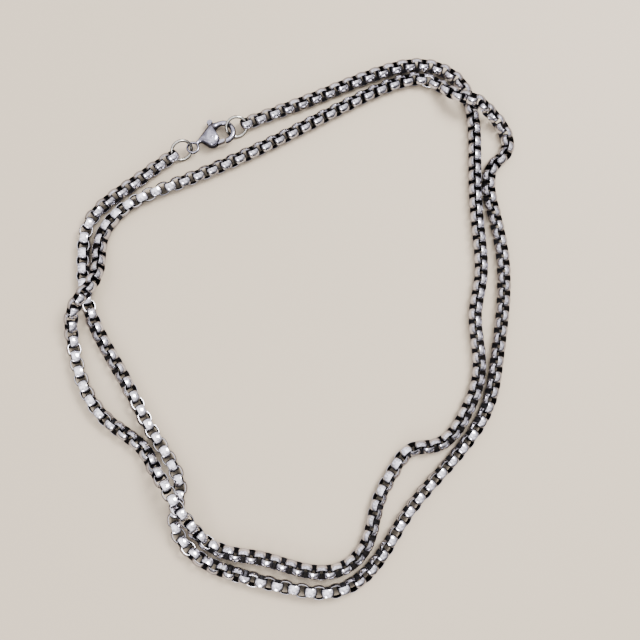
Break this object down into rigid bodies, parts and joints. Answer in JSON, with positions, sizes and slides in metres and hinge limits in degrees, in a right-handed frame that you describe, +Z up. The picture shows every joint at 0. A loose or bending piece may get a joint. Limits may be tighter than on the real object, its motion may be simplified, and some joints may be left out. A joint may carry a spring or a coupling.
{
  "type": "box chain necklace",
  "caption": "Round box chain necklace of interlocked bowed square links, closed by a lobster clasp between jump rings and laid flat in a double loop.",
  "frame": {"origin": "middle of the footprint, on the surface that the necklace lies on", "axes": "+Z up, away from that surface; +Y along the longer side of the double loop, towards the side with the clasp; +X to the right of it seen from above"},
  "size_m": [0.0949, 0.1148, 0.0062],
  "materials": {
    "clasp_steel": "polished stainless steel, cast and tumbled",
    "ring_steel": "polished stainless steel wire",
    "link_steel": "polished stainless steel strip"
  },
  "bodies": {
    "necklace": {"clasp_body": "clasp_steel", "lever_pin": "clasp_steel", "eye_jump_ring": "ring_steel", "hook_jump_ring": "ring_steel", "first_link": "link_steel", "second_link": "link_steel", "next_to_last_link": "link_steel", "last_link": "link_steel", "chain_first_turn": "link_steel", "chain_second_turn": "link_steel"},
    "lever": {"clasp_lever": "clasp_steel"}
  },
  "joints": [
    {"name": "clasp_lever_hinge", "type": "hinge", "parent": "necklace", "child": "lever", "pos_m": [-0.01822, 0.03745, 0.00173], "axis": [-0.0643, 0.1234, 0.9903], "range_deg": [0, 22], "stiffness_Nm_per_rad": 0.005, "springref_deg": -5.73}
  ]
}
